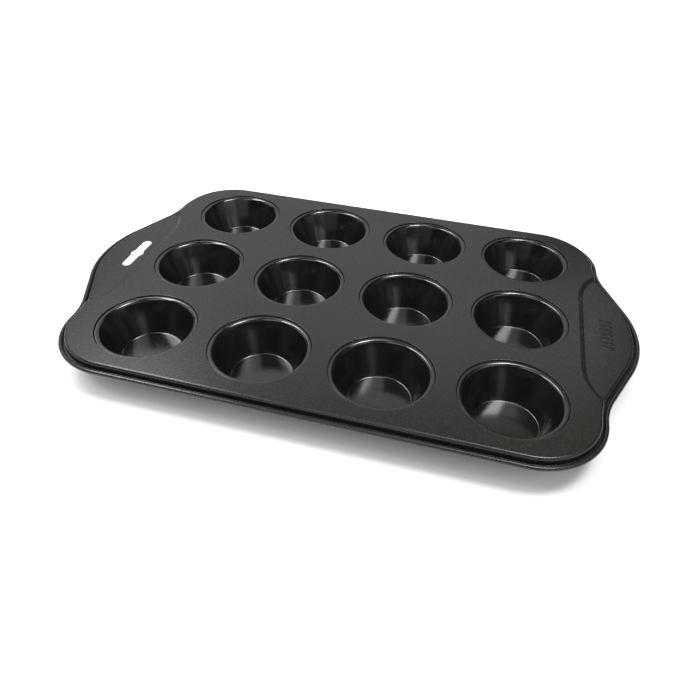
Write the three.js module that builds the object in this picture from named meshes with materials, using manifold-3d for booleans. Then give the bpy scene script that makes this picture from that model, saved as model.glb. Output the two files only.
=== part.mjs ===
// Muffin tin: a pressed steel deck with a rolled rim and two sunken handles, twelve deep-drawn cups
// that hang in stepped seats of the deck, and the steel wire inside the rolled rim.
// Millimetres, +Z up, +X along the tin. The origin is under the middle of the tin, at the level of
// the cups' feet. The left handle has the hanging slot, the right handle has grip ribs.

import * as THREE from 'three';
import { mergeVertices } from 'three/addons/utils/BufferGeometryUtils.js';
import Module from 'manifold-3d';

// Sheet and fits
const SHEET = 0.6;                 // thickness of every pressed sheet
const GAP = 0.3;                   // clearance between pieces that touch

// Levels
const DECK_Z = 29;                 // top of the deck above the cups' feet
const FLANGE_DROP = 1;             // cup flange below the deck

// Cups
const COLUMNS = 4;
const ROWS = ['front', 'middle', 'back'];
const PITCH = 92;                  // centre to centre, both ways
const MOUTH_R = 35;                // where the wall's line meets the flange's level
const FLANGE_R = 38;
const LIP_R = 3;                   // rounding between flange and wall, on the inside
const FOOT_R = 1.5;                // rounding between wall and floor, on the inside
const TAPER = THREE.MathUtils.degToRad(21.5);
const COLLAR = 6;                  // deck top to the lower edge of the collar round each cup
const CUP_SEGMENTS = 20;
const ROUNDING_STEPS = 2;

// Deck outline, at the foot of its outer wall: two straight long sides, a round corner at each end
// of them, and a round handle lobe at each short side, joined to the corners by hollow curves
const HALF_WIDTH = 142.5;
const HALF_FLANK = 197.3;          // narrowest half length, where corner and hollow meet
const HALF_LENGTH = 225;
const CORNER_R = 47;
const HOLLOW_R = 64;
const LOBE_R = 91;
const CORNER_STEPS = 5;
const HOLLOW_STEPS = 3;
const LOBE_STEPS = 8;
const EDGE_R = 2;                  // rounding of the deck's edge

// Rolled rim: a flange at the foot of the wall, curled up and inwards over a wire
const BEAD_R = 1.6;
const BEAD_OUT = 3.4;              // bead centre, out from the deck's wall
const BEAD_DROP = 5.2;             // bead centre, below the deck
const CURL_END = Math.PI;
const CURL_STEPS = 6;
const WIRE_SIDES = 6;

// Handles
const HANDLE_DROP = 2;
const HANDLE_X = 187.7;            // foot of the slope between deck and handle
const HANDLE_SLOPE = 3.3;          // width of that slope
const HANDLE_HALF_Y = 45;          // half length of its straight stretch
const HANDLE_TURN_R = 47.5;        // then it turns outwards
const HANDLE_TURN = 0.8;
const HANDLE_TURN_STEPS = 3;
const PAST_RIM = 45;

// Hanging slot and grip ribs
const SLOT_X = -198.7;
const SLOT_LENGTH = 43;
const SLOT_WIDTH = 8;
const BUMP_R = 5.6;                // round swelling at the middle of the slot
const RIB_X = 204;
const RIB_COUNT = 7;
const RIB_PITCH = 5.5;
const RIB_LENGTH = 9;
const RIB_WIDTH = 2;
const RIB_HEIGHT = 0.45;

const OVERRUN = 5;                 // how far a cutter reaches past what it cuts

const wasm = await Module();
wasm.setup();

function solid(geometry) {
  const bare = geometry.clone();
  bare.deleteAttribute('normal');
  bare.deleteAttribute('uv');
  const merged = mergeVertices(bare);
  return new wasm.Manifold(new wasm.Mesh({
    numProp: 3,
    vertProperties: new Float32Array(merged.attributes.position.array),
    triVerts: new Uint32Array(merged.index.array),
  }));
}

function geometryOf(body) {
  const { vertProperties, triVerts } = body.getMesh();
  const geometry = new THREE.BufferGeometry();
  geometry.setAttribute('position', new THREE.BufferAttribute(new Float32Array(vertProperties), 3));
  geometry.setIndex(new THREE.BufferAttribute(new Uint32Array(triVerts), 1));
  geometry.computeVertexNormals();
  return geometry;
}

// Skins loops of equally many points to each other, in order. A ring joins the last loop to the
// first; otherwise flat lids close both ends.
function skin(loops, ring = false) {
  const count = loops[0].length;
  const triangles = [];
  const quad = (a, b, c, d) => triangles.push(a, b, c, a, c, d);
  const joints = ring ? loops.length : loops.length - 1;
  for (let level = 0; level < joints; level += 1) {
    const low = level * count;
    const high = ((level + 1) % loops.length) * count;
    for (let i = 0; i < count; i += 1) {
      const next = (i + 1) % count;
      quad(low + i, low + next, high + next, high + i);
    }
  }
  if (!ring) {
    const top = (loops.length - 1) * count;
    const flat = loops[0].map((p) => new THREE.Vector2(p.x, p.y));
    for (const [a, b, c] of THREE.ShapeUtils.triangulateShape(flat, [])) {
      triangles.push(a, c, b, top + a, top + b, top + c);
    }
  }
  const geometry = new THREE.BufferGeometry().setFromPoints(loops.flat());
  geometry.setIndex(triangles);
  return geometry;
}

// ---- deck outline ----

function arcPoints(centre, radius, from, to, steps) {
  const points = [];
  for (let i = 0; i <= steps; i += 1) {
    const angle = from + ((to - from) * i) / steps;
    points.push(new THREE.Vector2(
      centre.x + radius * Math.cos(angle),
      centre.y + radius * Math.sin(angle),
    ));
  }
  return points;
}

const cornerCentre = new THREE.Vector2(HALF_FLANK - CORNER_R, HALF_WIDTH - CORNER_R);
const hollowCentre = new THREE.Vector2(HALF_FLANK + HOLLOW_R, cornerCentre.y);
const lobeCentre = new THREE.Vector2(HALF_LENGTH - LOBE_R, 0);
const lobeToHollow = hollowCentre.clone().sub(lobeCentre);
// Direction in which lobe and hollow touch, seen from the lobe's centre
const meeting = lobeToHollow.angle() - Math.acos((LOBE_R + HOLLOW_R) / lobeToHollow.length());

// The quarter with positive x and y, moved outwards by a distance, from the lobe's tip to the corner
function quarterOutline(out) {
  const lobe = arcPoints(lobeCentre, LOBE_R + out, 0, meeting, LOBE_STEPS / 2);
  const hollow = arcPoints(hollowCentre, HOLLOW_R - out, Math.PI + meeting, Math.PI, HOLLOW_STEPS);
  const corner = arcPoints(cornerCentre, CORNER_R + out, 0, Math.PI / 2, CORNER_STEPS);
  return [...lobe, ...hollow.slice(1), ...corner.slice(1)];
}

function outline(out, z) {
  const quarter = quarterOutline(out);
  const mirrored = (sx, sy) => quarter.map((p) => new THREE.Vector3(sx * p.x, sy * p.y, z));
  return [
    ...mirrored(1, 1),
    ...mirrored(-1, 1).reverse().slice(0, -1),
    ...mirrored(-1, -1),
    ...mirrored(1, -1).reverse().slice(0, -1),
  ];
}

// ---- cups and their seats ----

const FLANGE_Z = DECK_Z - FLANGE_DROP;
const FLOOR_R = MOUTH_R - (FLANGE_Z - SHEET) * Math.tan(TAPER);
// How far along flange or floor a rounding of radius 1 starts from the corner that it rounds
const ROUNDING_REACH = Math.tan((Math.PI / 2 - TAPER) / 2);
const lipCentre = new THREE.Vector2(MOUTH_R + LIP_R * ROUNDING_REACH, FLANGE_Z - LIP_R);
const footCentre = new THREE.Vector2(FLOOR_R - FOOT_R * ROUNDING_REACH, SHEET + FOOT_R);

// Half section of a cup's surface, from its floor's middle to its flange, moved outwards
// (under and away from the cup's inside) by a distance
function cupSkin(out, flangeR) {
  const foot = arcPoints(footCentre, FOOT_R + out, -Math.PI / 2, -TAPER, ROUNDING_STEPS);
  const lip = arcPoints(lipCentre, LIP_R - out, Math.PI - TAPER, Math.PI / 2, ROUNDING_STEPS);
  return [
    new THREE.Vector2(0, SHEET - out),
    ...foot,
    ...lip,
    new THREE.Vector2(flangeR, FLANGE_Z - out),
  ];
}

// LatheGeometry turns about Y, so the ring is stood up onto Z
function turned(profile) {
  return new THREE.LatheGeometry(profile, CUP_SEGMENTS).rotateX(Math.PI / 2);
}

function cupGeometry() {
  return turned([...cupSkin(SHEET, FLANGE_R), ...cupSkin(0, FLANGE_R).reverse()]);
}

// What a seat and its collar take out of the deck: everything inside a cup skin moved outwards,
// from a level up
function seatCutter(out, lowest) {
  const edge = FLANGE_R + out - SHEET;
  const profile = cupSkin(out, edge).slice(ROUNDING_STEPS + 1);
  const [wallFoot, wallTop] = profile;
  const start = wallFoot.clone().lerp(wallTop, (lowest - wallFoot.y) / (wallTop.y - wallFoot.y));
  const above = DECK_Z + OVERRUN;
  return solid(turned([
    new THREE.Vector2(0, lowest),
    start,
    ...profile.slice(1),
    new THREE.Vector2(edge, above),
    new THREE.Vector2(0, above),
  ]));
}

function cupPlaces() {
  return ROWS.flatMap((row, j) => Array.from({ length: COLUMNS }, (_, i) => ({
    name: `cup_${row}_${i + 1}`,
    x: (i - (COLUMNS - 1) / 2) * PITCH,
    y: (j - (ROWS.length - 1) / 2) * PITCH,
  })));
}

// ---- deck plate ----

const RIM_BOTTOM = DECK_Z - BEAD_DROP - BEAD_R;

// Solid block under the deck's skin, with its top edge rounded
function deckBlock(out, top, bottom) {
  const round = EDGE_R + out;
  const centre = new THREE.Vector2(-EDGE_R, top - round);
  const edge = arcPoints(centre, round, 0, Math.PI / 2, ROUNDING_STEPS);
  return solid(skin([
    outline(out, bottom),
    ...edge.map((p) => outline(p.x, p.y)),
  ]));
}

// Space over a handle: its straight inner side turns outwards at both ends, its sides slope
function handleOutline(grow, z, side) {
  const radius = HANDLE_TURN_R + grow;
  const turnCentre = new THREE.Vector2(HANDLE_X - grow + radius, HANDLE_HALF_Y);
  const turn = arcPoints(turnCentre, radius, Math.PI - HANDLE_TURN, Math.PI, HANDLE_TURN_STEPS);
  const last = turn[0];
  const far = new THREE.Vector2(
    last.x + PAST_RIM * Math.sin(HANDLE_TURN),
    last.y + PAST_RIM * Math.cos(HANDLE_TURN),
  );
  const half = [far, ...turn];
  const points = [
    ...half.map((p) => new THREE.Vector3(side * p.x, p.y, z)),
    ...half.reverse().map((p) => new THREE.Vector3(side * p.x, -p.y, z)),
  ];
  return side > 0 ? points : points.reverse();
}

function handleCutter(out, side) {
  const slope = Math.atan(HANDLE_DROP / HANDLE_SLOPE);
  const grow = -out * Math.tan(slope / 2);
  const floor = DECK_Z - HANDLE_DROP + out;
  const rise = HANDLE_DROP + OVERRUN;
  return solid(skin([
    handleOutline(grow, floor, side),
    handleOutline(grow + rise / Math.tan(slope), floor + rise, side),
  ]));
}

// Everything under the deck's skin, moved inwards by -out: the high deck, the low handles, and
// the seats' pockets
function underDeck(out, bottom, collarEnd) {
  let body = deckBlock(out, DECK_Z + out, bottom);
  for (const side of [-1, 1]) {
    body = body.subtract(handleCutter(out, side));
  }
  body = body.add(deckBlock(out, DECK_Z - HANDLE_DROP + out, bottom));
  const pocket = seatCutter(SHEET + GAP - out, collarEnd);
  for (const place of cupPlaces()) {
    body = body.subtract(pocket.translate([place.x, place.y, 0]));
  }
  return body;
}

function curlSection() {
  const centre = new THREE.Vector2(BEAD_OUT, DECK_Z - BEAD_DROP);
  const outer = arcPoints(centre, BEAD_R, -Math.PI / 2, CURL_END, CURL_STEPS);
  const inner = arcPoints(centre, BEAD_R - SHEET, CURL_END, -Math.PI / 2, CURL_STEPS);
  const inWall = -SHEET / 2;
  return [
    new THREE.Vector2(inWall, RIM_BOTTOM),
    ...outer,
    ...inner,
    new THREE.Vector2(inWall, RIM_BOTTOM + SHEET),
  ];
}

function alongOutline(section) {
  return skin(section.map((p) => outline(p.x, p.y)), true);
}

function stadium(length, width) {
  const shape = new THREE.Shape();
  const reach = (length - width) / 2;
  shape.absarc(0, reach, width / 2, 0, Math.PI, false);
  shape.absarc(0, -reach, width / 2, Math.PI, 2 * Math.PI, false);
  return shape;
}

function raised(shape, height, roundSteps) {
  return solid(new THREE.ExtrudeGeometry(shape, {
    depth: height,
    bevelEnabled: false,
    curveSegments: roundSteps,
  }));
}

function slotCutter() {
  const height = HANDLE_DROP + SHEET + 2 * OVERRUN;
  const bump = solid(new THREE.CylinderGeometry(BUMP_R, BUMP_R, height, 12).rotateX(Math.PI / 2))
    .translate([0, 0, height / 2]);
  return raised(stadium(SLOT_LENGTH, SLOT_WIDTH), height, 3)
    .add(bump)
    .translate([SLOT_X, 0, DECK_Z - HANDLE_DROP - SHEET - OVERRUN]);
}

function gripRibs() {
  const height = RIB_HEIGHT + SHEET / 2;
  const rib = raised(stadium(RIB_LENGTH, RIB_WIDTH), height, 2).rotate([0, 0, 90]);
  const ribs = Array.from({ length: RIB_COUNT }, (_, i) => rib.translate([
    RIB_X,
    (i - (RIB_COUNT - 1) / 2) * RIB_PITCH,
    DECK_Z - HANDLE_DROP - SHEET / 2,
  ]));
  return ribs.reduce((all, next) => all.add(next));
}

function deckPlate() {
  const outside = underDeck(0, RIM_BOTTOM, RIM_BOTTOM - OVERRUN);
  const inside = underDeck(-SHEET, RIM_BOTTOM - OVERRUN, DECK_Z - COLLAR);
  return geometryOf(outside
    .subtract(inside)
    .add(solid(alongOutline(curlSection())))
    .add(gripRibs())
    .subtract(slotCutter()));
}

function rimWire() {
  const centre = new THREE.Vector2(BEAD_OUT, DECK_Z - BEAD_DROP);
  const radius = BEAD_R - SHEET - GAP;
  return alongOutline(arcPoints(centre, radius, 0, 2 * Math.PI, WIRE_SIDES).slice(0, -1));
}

// ---- assembly ----

const coating = { color: 0x55534f, roughness: 0.5, metalness: 0.35 };
const glossCoating = { color: 0x3d3c3d, roughness: 0.32, metalness: 0.35 };
const steel = { color: 0xa9abad, roughness: 0.35, metalness: 1 };

function piece(name, geometry, look) {
  const mesh = new THREE.Mesh(geometry, new THREE.MeshStandardMaterial(look));
  mesh.name = name;
  return mesh;
}

const tin = new THREE.Group();
tin.name = 'muffin_tin';
tin.add(piece('deck_plate', deckPlate(), coating));
tin.add(piece('rim_wire', rimWire(), steel));
for (const place of cupPlaces()) {
  const cup = piece(place.name, cupGeometry(), glossCoating);
  cup.position.set(place.x, place.y, 0);
  tin.add(cup);
}

export default tin;
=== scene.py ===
"""Muffin tin: fine meshes, materials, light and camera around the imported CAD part.

Lengths are in metres, +Z up, in the part's own frame.
"""
import math

import bpy
import numpy as np
from mathutils import Matrix, Vector
from mathutils.geometry import delaunay_2d_cdt


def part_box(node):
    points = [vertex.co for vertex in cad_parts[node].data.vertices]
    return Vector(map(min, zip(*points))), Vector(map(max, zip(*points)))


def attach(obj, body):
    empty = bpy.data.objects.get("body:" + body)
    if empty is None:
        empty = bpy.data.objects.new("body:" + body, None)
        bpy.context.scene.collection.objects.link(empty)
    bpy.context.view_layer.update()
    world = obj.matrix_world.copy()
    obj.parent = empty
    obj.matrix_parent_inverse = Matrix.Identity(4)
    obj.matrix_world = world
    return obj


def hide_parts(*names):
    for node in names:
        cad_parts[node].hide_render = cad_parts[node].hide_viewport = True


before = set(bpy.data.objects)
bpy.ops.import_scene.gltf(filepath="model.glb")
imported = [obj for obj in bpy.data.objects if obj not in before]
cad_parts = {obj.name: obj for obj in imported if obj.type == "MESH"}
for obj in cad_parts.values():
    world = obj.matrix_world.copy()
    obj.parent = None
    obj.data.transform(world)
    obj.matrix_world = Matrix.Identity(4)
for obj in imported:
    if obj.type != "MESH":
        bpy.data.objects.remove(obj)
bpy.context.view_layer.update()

MM = 0.001

# ---- sizes: the part's own, with finer roundings and more segments than its solids ----

SHEET = 0.6 * MM
GAP = 0.3 * MM
DECK_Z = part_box("deck_plate")[1].z
HALF_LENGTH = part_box("deck_plate")[1].x
HALF_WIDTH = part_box("deck_plate")[1].y

# Rolled rim, measured out from the deck's outer wall and down from the deck
BEAD_R = 1.6 * MM
BEAD_OUT = 3.4 * MM
BEAD_DROP = 5.2 * MM
CURL_END = math.radians(196)
EDGE_R = 2 * MM
GROOVE_R = 0.5 * MM
RIM_WIDTH = 3.5 * MM             # flat deck that belongs to the rim's own mesh

# Deck outline, at the foot of its outer wall
WALL_X = HALF_LENGTH - BEAD_OUT - BEAD_R
WALL_Y = HALF_WIDTH - BEAD_OUT - BEAD_R
FLANK_X = 197.3 * MM
CORNER_R = 47 * MM
HOLLOW_R = 64 * MM
LOBE_R = 91 * MM

# Cups
MOUTH_R = 35 * MM
LIP_R = 3 * MM
FOOT_R = 1.5 * MM
TAPER = math.radians(21.5)
FLANGE_DROP = DECK_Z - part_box("cup_front_1")[1].z
COLLAR = 6 * MM
POCKET_EDGE_R = 0.5 * MM
POCKET_FOOT_R = 0.35 * MM
POCKET_RIM = 4 * MM              # flat deck that belongs to the seat's own mesh
CUP_SEGMENTS = 96

# Handles
HANDLE_DROP = 2 * MM
HANDLE_X = 187.7 * MM
HANDLE_SLOPE = 3.3 * MM
HANDLE_HALF_Y = 45 * MM
HANDLE_TURN_R = 47.5 * MM
SLOPE_ROUNDING = 0.24 * MM
SLOPE_TURN = 1.0                 # angle over which fine rows follow the slope's turn
SLOPE_MARGIN = 1.2 * MM          # fine rows go this far past the slope, each way

# Hanging slot and grip ribs
SLOT_X = -198.7 * MM
SLOT_LENGTH = 43 * MM
SLOT_WIDTH = 8 * MM
SLOT_BUMP_R = 5.6 * MM
SLOT_EDGE = 0.3 * MM             # rounding of the cut edge
RIB_X = 204 * MM
RIB_COUNT = 7
RIB_PITCH = 5.5 * MM
RIB_LENGTH = 9 * MM
RIB_WIDTH = 2 * MM
RIB_HEIGHT = 0.45 * MM
RIB_SHOULDER = 2 * MM            # width of the slope round each rib
RIB_MARGIN = 1.5 * MM


# ---- mesh tools ----

def arc(centre, radius, start, end, steps):
    angles = np.linspace(start, end, steps + 1)
    return np.array(centre) + radius * np.stack([np.cos(angles), np.sin(angles)], 1)


def smooth_step(value):
    value = np.clip(value, 0, 1)
    return value * value * (3 - 2 * value)


class Surface:
    """Vertices and faces of one piece, gathered patch by patch."""

    def __init__(self):
        self.points = []
        self.faces = []
        self.count = 0

    def add(self, points, faces):
        self.points.append(np.asarray(points, float).reshape(-1, 3))
        self.faces += [tuple(self.count + i for i in face) for face in faces]
        self.count += len(self.points[-1])

    def add_grid(self, rows, closed_rows=False):
        """Rows of equally many points, each a closed loop. With closed_rows the last joins the first."""
        rows = np.asarray(rows, float)
        height, width = rows.shape[:2]
        faces = []
        for r in range(height if closed_rows else height - 1):
            below, above = r * width, ((r + 1) % height) * width
            for c in range(width):
                d = (c + 1) % width
                faces.append((below + c, above + c, above + d, below + d))
        self.add(rows, faces)

    def mesh(self, name):
        data = bpy.data.meshes.new(name)
        data.from_pydata(np.concatenate(self.points).tolist(), [], self.faces)
        data.validate()
        return data


def new_object(name, data):
    piece = bpy.data.objects.new(name, data)
    bpy.context.scene.collection.objects.link(piece)
    return piece


def apply_modifiers(piece):
    graph = bpy.context.evaluated_depsgraph_get()
    data = bpy.data.meshes.new_from_object(piece.evaluated_get(graph))
    old = piece.data
    piece.modifiers.clear()
    piece.data = data
    bpy.data.meshes.remove(old)
    data.name = piece.name


def weld(piece, distance=0.002 * MM):
    modifier = piece.modifiers.new("weld", "WELD")
    modifier.merge_threshold = distance
    apply_modifiers(piece)


def thicken(piece):
    """Gives the outer skin the sheet's thickness, inwards."""
    modifier = piece.modifiers.new("sheet", "SOLIDIFY")
    modifier.thickness = SHEET
    modifier.offset = -1
    modifier.use_even_offset = True
    modifier.use_quality_normals = True
    apply_modifiers(piece)


def shade(piece, sharp_degrees=40):
    piece.data.shade_smooth()
    piece.data.set_sharp_from_angle(angle=math.radians(sharp_degrees))


# ---- deck outline ----

CORNER_CENTRE = np.array([FLANK_X - CORNER_R, WALL_Y - CORNER_R])
HOLLOW_CENTRE = np.array([FLANK_X + HOLLOW_R, CORNER_CENTRE[1]])
LOBE_CENTRE = np.array([WALL_X - LOBE_R, 0])


def outline():
    """Points along the deck's outer wall, anticlockwise, and the outward normal at each."""
    reach = HOLLOW_CENTRE - LOBE_CENTRE
    distance = np.hypot(*reach)
    meeting = math.atan2(reach[1], reach[0]) - math.acos((LOBE_R + HOLLOW_R) / distance)
    lobe = arc(LOBE_CENTRE, LOBE_R, 0, meeting, 22)
    hollow = arc(HOLLOW_CENTRE, HOLLOW_R, math.pi + meeting, math.pi, 14)[1:]
    corner = arc(CORNER_CENTRE, CORNER_R, 0, math.pi / 2, 36)[1:]
    side = np.linspace([CORNER_CENTRE[0], WALL_Y], [0, WALL_Y], 13)[1:]
    points = np.concatenate([lobe, hollow, corner, side])
    normals = np.concatenate([
        (lobe - LOBE_CENTRE) / LOBE_R,
        (HOLLOW_CENTRE - hollow) / HOLLOW_R,
        (corner - CORNER_CENTRE) / CORNER_R,
        np.tile([0.0, 1.0], (len(side), 1)),
    ])
    mirrors = []
    for sx, sy in ((1, 1), (-1, 1), (-1, -1), (1, -1)):
        pair = np.stack([points, normals]) * [sx, sy]
        backwards = sx * sy < 0
        mirrors.append(pair[:, ::-1][:, 1:-1] if backwards else pair)
    return np.concatenate(mirrors, axis=1)


OUTLINE, OUTWARD = outline()


def loop_at(out, z):
    flat = OUTLINE + OUTWARD * out
    return np.column_stack([flat, np.broadcast_to(z, len(flat))])


# ---- heights of the deck ----

def handle_depth(x, y):
    """How far the pressed handles lie below the deck at a point."""
    ax, ay = np.abs(x), np.abs(y)
    straight = ax - HANDLE_X
    turn = HANDLE_TURN_R - np.hypot(ax - HANDLE_X - HANDLE_TURN_R, ay - HANDLE_HALF_Y)
    inside = np.where(ay < HANDLE_HALF_Y, straight, turn)
    width = HANDLE_SLOPE + 2 * SLOPE_ROUNDING
    return HANDLE_DROP * smooth_step((inside + HANDLE_SLOPE + SLOPE_ROUNDING) / width)


def rib_centres():
    return (np.arange(RIB_COUNT) - (RIB_COUNT - 1) / 2) * RIB_PITCH


def rib_height(x, y):
    half = (RIB_LENGTH - RIB_WIDTH) / 2
    height = np.zeros_like(x)
    for centre in rib_centres():
        away = np.hypot(np.maximum(np.abs(x - RIB_X) - half, 0), y - centre)
        rise = (RIB_WIDTH / 2 + RIB_SHOULDER / 2 - away) / RIB_SHOULDER
        height = np.maximum(height, RIB_HEIGHT * smooth_step(rise))
    return height


def slot_outline(out, steps=10):
    """The hanging slot's edge, moved outwards into the handle."""
    end_r = SLOT_WIDTH / 2 + out
    bump_r = SLOT_BUMP_R + out
    end_y = (SLOT_LENGTH - SLOT_WIDTH) / 2
    side = math.acos(end_r / bump_r)
    half = np.concatenate([
        arc([0, 0], bump_r, -side, side, steps),
        arc([0, end_y], end_r, 0, math.pi, steps),
    ])
    return np.concatenate([half, -half]) + [SLOT_X, 0]


# ---- deck plate ----

def rim_section():
    """Top skin of the sheet across the rim: deck, rounded edge, wall, groove, inside of the curl.

    Pairs of distance out from the wall and height from the deck."""
    groove_z = -BEAD_DROP - BEAD_R + SHEET
    bead = [BEAD_OUT, -BEAD_DROP]
    return np.concatenate([
        [[-RIM_WIDTH, 0], [-2.7 * MM, 0], [-2.2 * MM, 0]],
        arc([-EDGE_R, -EDGE_R], EDGE_R, math.pi / 2, 0, 10),
        [[0, -3.2 * MM], [0, -4.4 * MM]],
        arc([GROOVE_R, groove_z + GROOVE_R], GROOVE_R, math.pi, 1.5 * math.pi, 5),
        [[1.6 * MM, groove_z], [2.6 * MM, groove_z]],
        arc(bead, BEAD_R - SHEET, -math.pi / 2, CURL_END, 26),
    ])


def rim_rows():
    groove_z = -BEAD_DROP - BEAD_R + SHEET
    rows = []
    for out, z in rim_section():
        row = loop_at(out, DECK_Z + z)
        share = np.clip((z - groove_z - GROOVE_R) / (-EDGE_R - groove_z - GROOVE_R), 0, 1)
        if out > GROOVE_R:
            share = 0
        row[:, 2] -= share * handle_depth(row[:, 0], row[:, 1])
        rows.append(row)
    return rows


def seat_section():
    """Top skin from the deck round a cup, down the pocket's wall, across the seat and down the
    collar. Pairs of radius and height."""
    pocket_r = FLANGE_R + GAP
    seat_z = DECK_Z - FLANGE_DROP - SHEET - GAP
    lip_r = LIP_R - SHEET - GAP
    lip = arc(LIP_CENTRE, lip_r, math.pi / 2, math.pi - TAPER, 6)
    end_z = DECK_Z - COLLAR
    end_r = lip[-1][0] - (lip[-1][1] - end_z) * math.tan(TAPER)
    return np.concatenate([
        [[pocket_r + POCKET_RIM, DECK_Z], [pocket_r + 1.2 * MM, DECK_Z]],
        [[pocket_r + 0.7 * MM, DECK_Z]],
        arc([pocket_r + POCKET_EDGE_R, DECK_Z - POCKET_EDGE_R], POCKET_EDGE_R,
            math.pi / 2, math.pi, 5),
        arc([pocket_r - POCKET_FOOT_R, seat_z + POCKET_FOOT_R], POCKET_FOOT_R,
            0, -math.pi / 2, 4),
        lip,
        [[(lip[-1][0] + end_r) / 2, (lip[-1][1] + end_z) / 2], [end_r, end_z]],
    ])


def turned_rows(section, centre, segments=CUP_SEGMENTS, clockwise=False):
    angles = np.arange(segments) * 2 * math.pi / segments
    if clockwise:
        angles = -angles
    ring = np.stack([np.cos(angles), np.sin(angles)], 1)
    return [np.column_stack([centre + ring * r, np.full(segments, z)]) for r, z in section]


def deck_interior():
    """Flat and pressed part of the deck, between the rim, the seats and the slot."""
    outer = loop_at(-RIM_WIDTH, 0)[:, :2]
    seat_r = FLANGE_R + GAP + POCKET_RIM
    rings = [turned_rows([[seat_r, 0]], centre)[0][:, :2] for centre in CUP_CENTRES]
    slot = slot_outline(SLOT_EDGE)
    loops = [outer, *rings, slot]
    points, edges, start = [], [], 0
    for loop in loops:
        count = len(loop)
        points += list(loop)
        edges += [(start + i, start + (i + 1) % count) for i in range(count)]
        start += count
    extra = np.concatenate([slope_points(), rib_points(), slot_points(), fill_points(loops)])
    inside = in_polygon(extra, outer)
    for centre in CUP_CENTRES:
        inside &= np.hypot(*(extra - centre).T) > seat_r + 0.3 * MM
    inside &= ~in_polygon(extra, slot)
    points += list(extra[inside])
    scaled = [Vector(p) / MM for p in points]
    result = delaunay_2d_cdt(scaled, edges, [], 0, 1e-4)
    flat = np.array([p[:] for p in result[0]]) * MM
    triangles = np.array(result[2])
    middles = flat[triangles].mean(axis=1)
    keep = in_polygon(middles, outer) & ~in_polygon(middles, slot)
    for ring in rings:
        keep &= ~in_polygon(middles, ring)
    triangles = triangles[keep]
    a, b, c = (flat[triangles[:, i]] for i in range(3))
    turn = np.cross(b - a, c - a)
    triangles[turn < 0] = triangles[turn < 0][:, ::-1]
    x, y = flat.T
    z = DECK_Z - handle_depth(x, y) + rib_height(x, y)
    return np.column_stack([flat, z]), triangles.tolist()


def in_polygon(points, polygon):
    """Which points lie inside a closed outline, by counting crossings."""
    inside = np.zeros(len(points), bool)
    x, y = points.T
    for (x0, y0), (x1, y1) in zip(polygon, np.roll(polygon, -1, axis=0)):
        if y0 == y1:
            continue
        crosses = (y0 > y) != (y1 > y)
        inside ^= crosses & (x < x0 + (y - y0) * (x1 - x0) / (y1 - y0))
    return inside


def slope_points(spacing=2.5 * MM):
    """Rows of points along the slope between deck and handles, from its top to its foot."""
    lines = []
    for inward in np.linspace(-HANDLE_SLOPE - SLOPE_MARGIN, SLOPE_MARGIN, 13):
        x = HANDLE_X + inward
        radius = HANDLE_TURN_R - inward
        straight_y = np.arange(-HANDLE_HALF_Y, HANDLE_HALF_Y + spacing / 2, spacing)
        straight = np.column_stack([np.full(len(straight_y), x), straight_y])
        turn = arc([HANDLE_X + HANDLE_TURN_R, HANDLE_HALF_Y], radius,
                   math.pi, math.pi - SLOPE_TURN, 20)[1:]
        lines += [straight, turn, turn * [1, -1]]
    half = np.concatenate(lines)
    return np.concatenate([half, half * [-1, 1]])


def rib_points(spacing=0.4 * MM):
    reach_x = RIB_LENGTH / 2 + RIB_MARGIN
    reach_y = RIB_PITCH * RIB_COUNT / 2
    x = np.arange(RIB_X - reach_x, RIB_X + reach_x, spacing)
    y = np.arange(-reach_y, reach_y, spacing)
    return np.stack(np.meshgrid(x, y), -1).reshape(-1, 2)


def slot_points():
    return np.concatenate([slot_outline(out * MM) for out in (0.8, 1.2, 2.0)])


def fill_points(loops, spacing=9 * MM):
    """An even scatter over the flat deck, clear of the closed outlines."""
    x = np.arange(-HALF_LENGTH, HALF_LENGTH, spacing)
    y = np.arange(-HALF_WIDTH, HALF_WIDTH, spacing)
    grid = np.stack(np.meshgrid(x, y), -1).reshape(-1, 2)
    near = np.concatenate(loops + [slope_points(), rib_points(1.5 * MM)])
    away = np.array([np.hypot(*(near - p).T).min() for p in grid])
    return grid[away > spacing / 3]


def slot_rows():
    """Rounded edge of the slot, from the handle's face into the cut."""
    level = DECK_Z - HANDLE_DROP
    rows = []
    for angle in np.linspace(math.pi / 2, 0, 5):
        out = SLOT_EDGE * (1 - math.cos(angle))
        drop = SLOT_EDGE * (1 - math.sin(angle))
        flat = slot_outline(out)
        rows.append(np.column_stack([flat, np.full(len(flat), level - drop)]))
    return rows


def make_deck():
    surface = Surface()
    surface.add(*deck_interior())
    surface.add_grid(rim_rows())
    for centre in CUP_CENTRES:
        surface.add_grid(turned_rows(seat_section(), centre, clockwise=True))
    surface.add_grid([row[::-1] for row in slot_rows()])
    deck = new_object("deck", surface.mesh("deck"))
    weld(deck)
    thicken(deck)
    shade(deck)
    return deck


# ---- cups ----

CUP_NODES = sorted(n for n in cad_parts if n.startswith("cup_"))


def cup_centre(node):
    low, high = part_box(node)
    return np.array([(low.x + high.x) / 2, (low.y + high.y) / 2])


CUP_CENTRES = [cup_centre(node) for node in CUP_NODES]
FLANGE_R = (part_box("cup_front_1")[1].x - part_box("cup_front_1")[0].x) / 2
FLANGE_Z = DECK_Z - FLANGE_DROP
FLOOR_R = MOUTH_R - (FLANGE_Z - SHEET) * math.tan(TAPER)
# How far along flange or floor a rounding of radius 1 starts from the corner that it rounds
ROUNDING_REACH = math.tan((math.pi / 2 - TAPER) / 2)
LIP_CENTRE = np.array([MOUTH_R + LIP_R * ROUNDING_REACH, FLANGE_Z - LIP_R])
FOOT_CENTRE = np.array([FLOOR_R - FOOT_R * ROUNDING_REACH, SHEET + FOOT_R])


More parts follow.
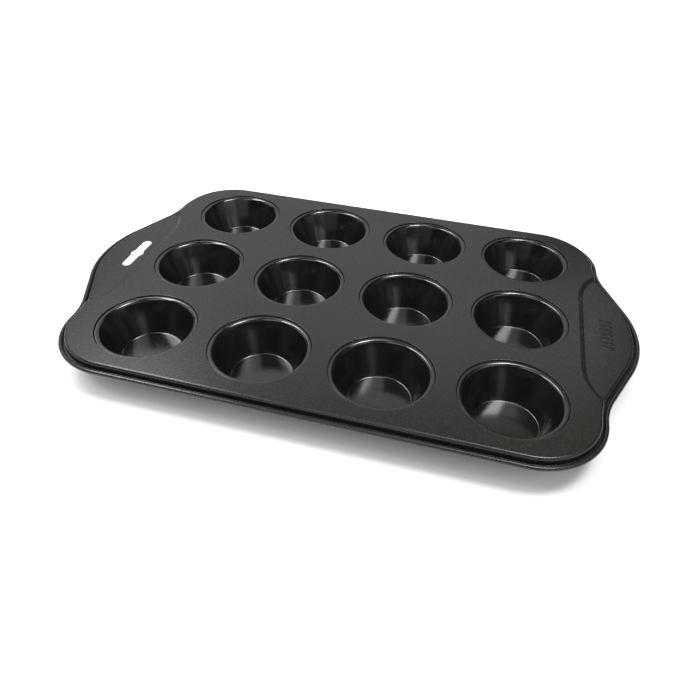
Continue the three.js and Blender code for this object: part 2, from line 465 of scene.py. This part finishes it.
def cup_skin(out):
    """Half section of the cup's surface from near the floor's middle to the flange, moved out."""
    foot = arc(FOOT_CENTRE, FOOT_R + out, -math.pi / 2, -TAPER, 8)
    lip = arc(LIP_CENTRE, LIP_R - out, math.pi - TAPER, math.pi / 2, 10)
    floor = [[share * FOOT_CENTRE[0], SHEET - out] for share in (0.25, 0.5, 0.75, 0.93)]
    wall = [foot[-1] + (lip[0] - foot[-1]) * share for share in (0.03, 0.25, 0.5, 0.75, 0.97)]
    return np.concatenate([floor, foot, wall, lip])


def cup_section():
    """Under the floor, up the outside, round the flange's edge, down the inside to the floor."""
    edge = arc([FLANGE_R - SHEET / 2, DECK_Z - FLANGE_DROP - SHEET / 2], SHEET / 2,
               -math.pi / 2, math.pi / 2, 6)
    return np.concatenate([cup_skin(SHEET), edge, cup_skin(0)[::-1]])


def make_cup(node):
    centre = cup_centre(node)
    rows = turned_rows(cup_section(), centre, clockwise=True)
    surface = Surface()
    surface.add_grid(rows)
    for row, z in ((rows[0], 0.0), (rows[-1], SHEET)):
        under = z == 0
        hub = [*centre, z]
        count = len(row)
        faces = []
        for i in range(count):
            j = (i + 1) % count
            faces.append((count, i, j) if under else (count, j, i))
        surface.add(np.vstack([row, [hub]]), faces)
    cup = new_object(node.replace("cup", "cup_shell"), surface.mesh(node))
    weld(cup)
    shade(cup)
    return cup


# ---- rim wire ----

def make_wire():
    radius = BEAD_R - SHEET - GAP
    section = arc([BEAD_OUT, DECK_Z - BEAD_DROP], radius, 0, -2 * math.pi, 12)[:-1]
    surface = Surface()
    surface.add_grid([loop_at(out, z) for out, z in section], closed_rows=True)
    wire = new_object("wire", surface.mesh("wire"))
    wire.data.shade_smooth()
    return wire


# ---- materials ----

class Nodes:
    """A material's node tree, with short ways to add and link nodes."""

    def __init__(self, name):
        self.material = bpy.data.materials.new(name)
        self.material.use_nodes = True
        self.tree = self.material.node_tree
        self.shader = self.tree.nodes["Principled BSDF"]
        self.place = self.add("ShaderNodeTexCoord").outputs["Object"]

    def add(self, kind, **settings):
        node = self.tree.nodes.new(kind)
        for key, value in settings.items():
            if key in node.inputs:
                node.inputs[key].default_value = value
            else:
                setattr(node, key, value)
        return node

    def link(self, source, target):
        self.tree.links.new(source, target)

    def noise(self, size, detail=2.0, roughness=0.5):
        """Noise whose lumps are about this many metres across, from 0 to 1."""
        node = self.add("ShaderNodeTexNoise", Scale=1 / size, Detail=detail, Roughness=roughness)
        self.link(self.place, node.inputs["Vector"])
        return node.outputs["Fac"]

    def height(self):
        node = self.add("ShaderNodeSeparateXYZ")
        self.link(self.place, node.inputs[0])
        return node.outputs["Z"]

    def spread(self, source, low, high, start=0.0, end=1.0):
        node = self.add("ShaderNodeMapRange")
        node.inputs["From Min"].default_value = start
        node.inputs["From Max"].default_value = end
        node.inputs["To Min"].default_value = low
        node.inputs["To Max"].default_value = high
        self.link(source, node.inputs["Value"])
        return node.outputs["Result"]

    def mix(self, factor, first, second):
        node = self.add("ShaderNodeMix", data_type="RGBA")
        # Inputs 6 and 7 and output 2 are the ones that hold colours
        for socket, value in ((node.inputs[6], first), (node.inputs[7], second)):
            if isinstance(value, tuple):
                socket.default_value = (*value, 1)
            else:
                self.link(value, socket)
        self.link(factor, node.inputs[0])
        return node.outputs[2]

    def total(self, first, second, weight):
        node = self.add("ShaderNodeMath", operation="MULTIPLY_ADD")
        self.link(second, node.inputs[0])
        node.inputs[1].default_value = weight
        self.link(first, node.inputs[2])
        return node.outputs[0]

    def bump(self, height, distance, strength=1.0):
        node = self.add("ShaderNodeBump", Strength=strength, Distance=distance)
        self.link(height, node.inputs["Height"])
        self.link(node.outputs["Normal"], self.shader.inputs["Normal"])


def coating(name, dark, light, roughness, grain, shine, matt_flange=0.0):
    """Non-stick coating: fine grain in colour, gloss and relief, and a slow drift in tone.

    A cup's flange is rougher than its inside by matt_flange.
    """
    m = Nodes(name)
    speckle = m.noise(0.9 * MM, detail=3.0, roughness=0.6)
    drift = m.noise(60 * MM, detail=2.0)
    tone = m.total(m.spread(speckle, 0.0, 0.8, 0.3, 0.7), drift, 0.5)
    m.link(m.mix(tone, dark, light), m.shader.inputs["Base Color"])
    gloss = m.noise(2.2 * MM, detail=4.0, roughness=0.65)
    gloss = m.spread(gloss, roughness - 0.05, roughness + 0.07, 0.3, 0.7)
    if matt_flange:
        flange = m.spread(m.height(), 0.0, 1.0, FLANGE_Z - 0.35 * MM, FLANGE_Z - 0.05 * MM)
        gloss = m.total(gloss, flange, matt_flange)
    m.link(gloss, m.shader.inputs["Roughness"])
    m.shader.inputs["Specular IOR Level"].default_value = shine
    m.bump(m.total(speckle, m.noise(8 * MM), 2.0), grain)
    return m.material


def drawn_steel(name):
    m = Nodes(name)
    tone = m.noise(3 * MM, detail=3.0)
    m.link(m.mix(tone, (0.42, 0.42, 0.42), (0.6, 0.6, 0.59)), m.shader.inputs["Base Color"])
    m.link(m.spread(tone, 0.25, 0.4), m.shader.inputs["Roughness"])
    m.shader.inputs["Metallic"].default_value = 1.0
    m.bump(m.noise(0.3 * MM), 0.01 * MM)
    return m.material


# ---- floor, light and camera ----

CAMERA_PLACE = Vector((0.0973, -0.40246, 0.31809))
CAMERA_TURN = math.radians(13.54)
CAMERA_DOWN = math.radians(40.77)
CAMERA_ROLL = math.radians(2.03)
CAMERA_LENS = 30.94
SENSOR = 36

FLOOR_HALF = 4.0
FLOOR_Z = -0.05 * MM             # just clear of the cups' floors, which rest on it
GLOW = 0.8                       # the floor's own light far from the tin, so that it ends in white
GLOW_START = 0.8
GLOW_FULL = 2.0


def make_camera():
    data = bpy.data.cameras.new("camera")
    data.lens = CAMERA_LENS
    data.sensor_width = SENSOR
    data.clip_start = 0.01
    camera = new_object("camera", data)
    turn = Matrix.Rotation(CAMERA_TURN, 4, "Z")
    tilt = Matrix.Rotation(math.pi / 2 - CAMERA_DOWN, 4, "X")
    roll = Matrix.Rotation(CAMERA_ROLL, 4, "Z")
    camera.matrix_world = Matrix.Translation(CAMERA_PLACE) @ turn @ tilt @ roll
    bpy.context.scene.camera = camera


def make_floor():
    data = bpy.data.meshes.new("floor")
    signs = ((-1, -1), (1, -1), (1, 1), (-1, 1))
    corners = [(x * FLOOR_HALF, y * FLOOR_HALF, FLOOR_Z) for x, y in signs]
    data.from_pydata(corners, [], [(0, 1, 2, 3)])
    floor = new_object("floor", data)
    m = Nodes("floor_paper")
    m.link(m.mix(m.noise(0.5), (0.88, 0.88, 0.88), (0.9, 0.9, 0.9)),
           m.shader.inputs["Base Color"])
    m.shader.inputs["Roughness"].default_value = 0.9
    m.shader.inputs["Specular IOR Level"].default_value = 0.1
    distance = m.add("ShaderNodeVectorMath", operation="LENGTH")
    m.link(m.place, distance.inputs[0])
    m.shader.inputs["Emission Color"].default_value = (1, 1, 1, 1)
    m.link(m.spread(distance.outputs["Value"], 0.0, GLOW, GLOW_START, GLOW_FULL),
           m.shader.inputs["Emission Strength"])
    data.materials.append(m.material)


def softbox(name, azimuth, elevation, width, height, radiance):
    """A panel that faces the tin from PANEL_DISTANCE away. Azimuth is anticlockwise from +X."""
    data = bpy.data.lights.new(name, "AREA")
    data.shape = "RECTANGLE"
    data.size = width
    data.size_y = height
    data.energy = radiance * math.pi * width * height
    light = new_object(name, data)
    turn, rise = math.radians(azimuth), math.radians(elevation)
    direction = Vector((math.cos(turn) * math.cos(rise), math.sin(turn) * math.cos(rise),
                        math.sin(rise)))
    light.location = direction * PANEL_DISTANCE
    light.rotation_euler = direction.to_track_quat("Z", "Y").to_euler()
    light.visible_camera = False


PANEL_DISTANCE = 1.3
# Name, azimuth and elevation in degrees, width, height and radiance
PANELS = (
    ("key_softbox", 165, 54, 0.28, 0.26, 17.0),
    ("key_side", 145, 51, 0.28, 0.28, 5.5),
    ("key_middle", 187, 58, 0.28, 0.26, 13.0),
    ("key_spill", 210, 53, 0.24, 0.30, 15.0),
    ("top_softbox", -4, 69, 0.38, 0.30, 25.5),
    ("top_spill", 10, 83, 0.60, 0.40, 4.0),
    ("back_screen", 103, 42, 1.62, 0.40, 0.85),
    ("left_screen", 152, 41, 0.46, 0.36, 1.1),
    ("back_left_screen", 108, 26, 1.20, 0.36, 0.65),
    ("back_low_screen", 122, 9, 1.70, 0.32, 0.85),
    ("left_panel", 185, 25, 0.90, 0.50, 1.0),
    ("left_fill", 254, 47, 0.60, 0.60, 1.9),
    ("right_fill", 330, 32, 0.90, 0.70, 1.0),
    ("right_panel", 0, 12, 0.80, 0.40, 0.3),
    ("front_panel", 285, 27, 1.20, 0.50, 0.4),
)


def make_light():
    """Panels make the reflections. The world lifts the shadows, and is seen as a white wall."""
    world = bpy.data.worlds.new("studio")
    bpy.context.scene.world = world
    world.use_nodes = True
    tree = world.node_tree
    fill = tree.nodes["Background"]
    fill.inputs["Color"].default_value = (1, 0.965, 0.92, 1)
    fill.inputs["Strength"].default_value = 0.4
    wall = tree.nodes.new("ShaderNodeBackground")
    wall.inputs["Color"].default_value = (1, 1, 1, 1)
    path = tree.nodes.new("ShaderNodeLightPath")
    seen = tree.nodes.new("ShaderNodeMixShader")
    tree.links.new(path.outputs["Is Camera Ray"], seen.inputs[0])
    tree.links.new(fill.outputs[0], seen.inputs[1])
    tree.links.new(wall.outputs[0], seen.inputs[2])
    tree.links.new(seen.outputs[0], tree.nodes["World Output"].inputs["Surface"])
    world.cycles_visibility.glossy = False
    for panel in PANELS:
        softbox(*panel)


def main():
    make_camera()
    make_light()
    make_floor()
    bpy.context.scene.view_settings.view_transform = "Standard"

    deck_coating = coating("deck_coating", (0.003, 0.003, 0.0025), (0.016, 0.0155, 0.013),
                           0.26, 0.014 * MM, 0.5)
    cup_coating = coating("cup_coating", (0.003, 0.003, 0.003), (0.007, 0.0068, 0.0065),
                          0.17, 0.004 * MM, 0.88, matt_flange=0.12)

    deck = make_deck()
    deck.data.materials.append(deck_coating)
    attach(deck, "root")
    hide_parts("deck_plate")

    for node in CUP_NODES:
        cup = make_cup(node)
        cup.data.materials.append(cup_coating)
        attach(cup, "root")
        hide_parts(node)

    wire = make_wire()
    wire.data.materials.append(drawn_steel("wire_steel"))
    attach(wire, "root")
    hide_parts("rim_wire")


main()
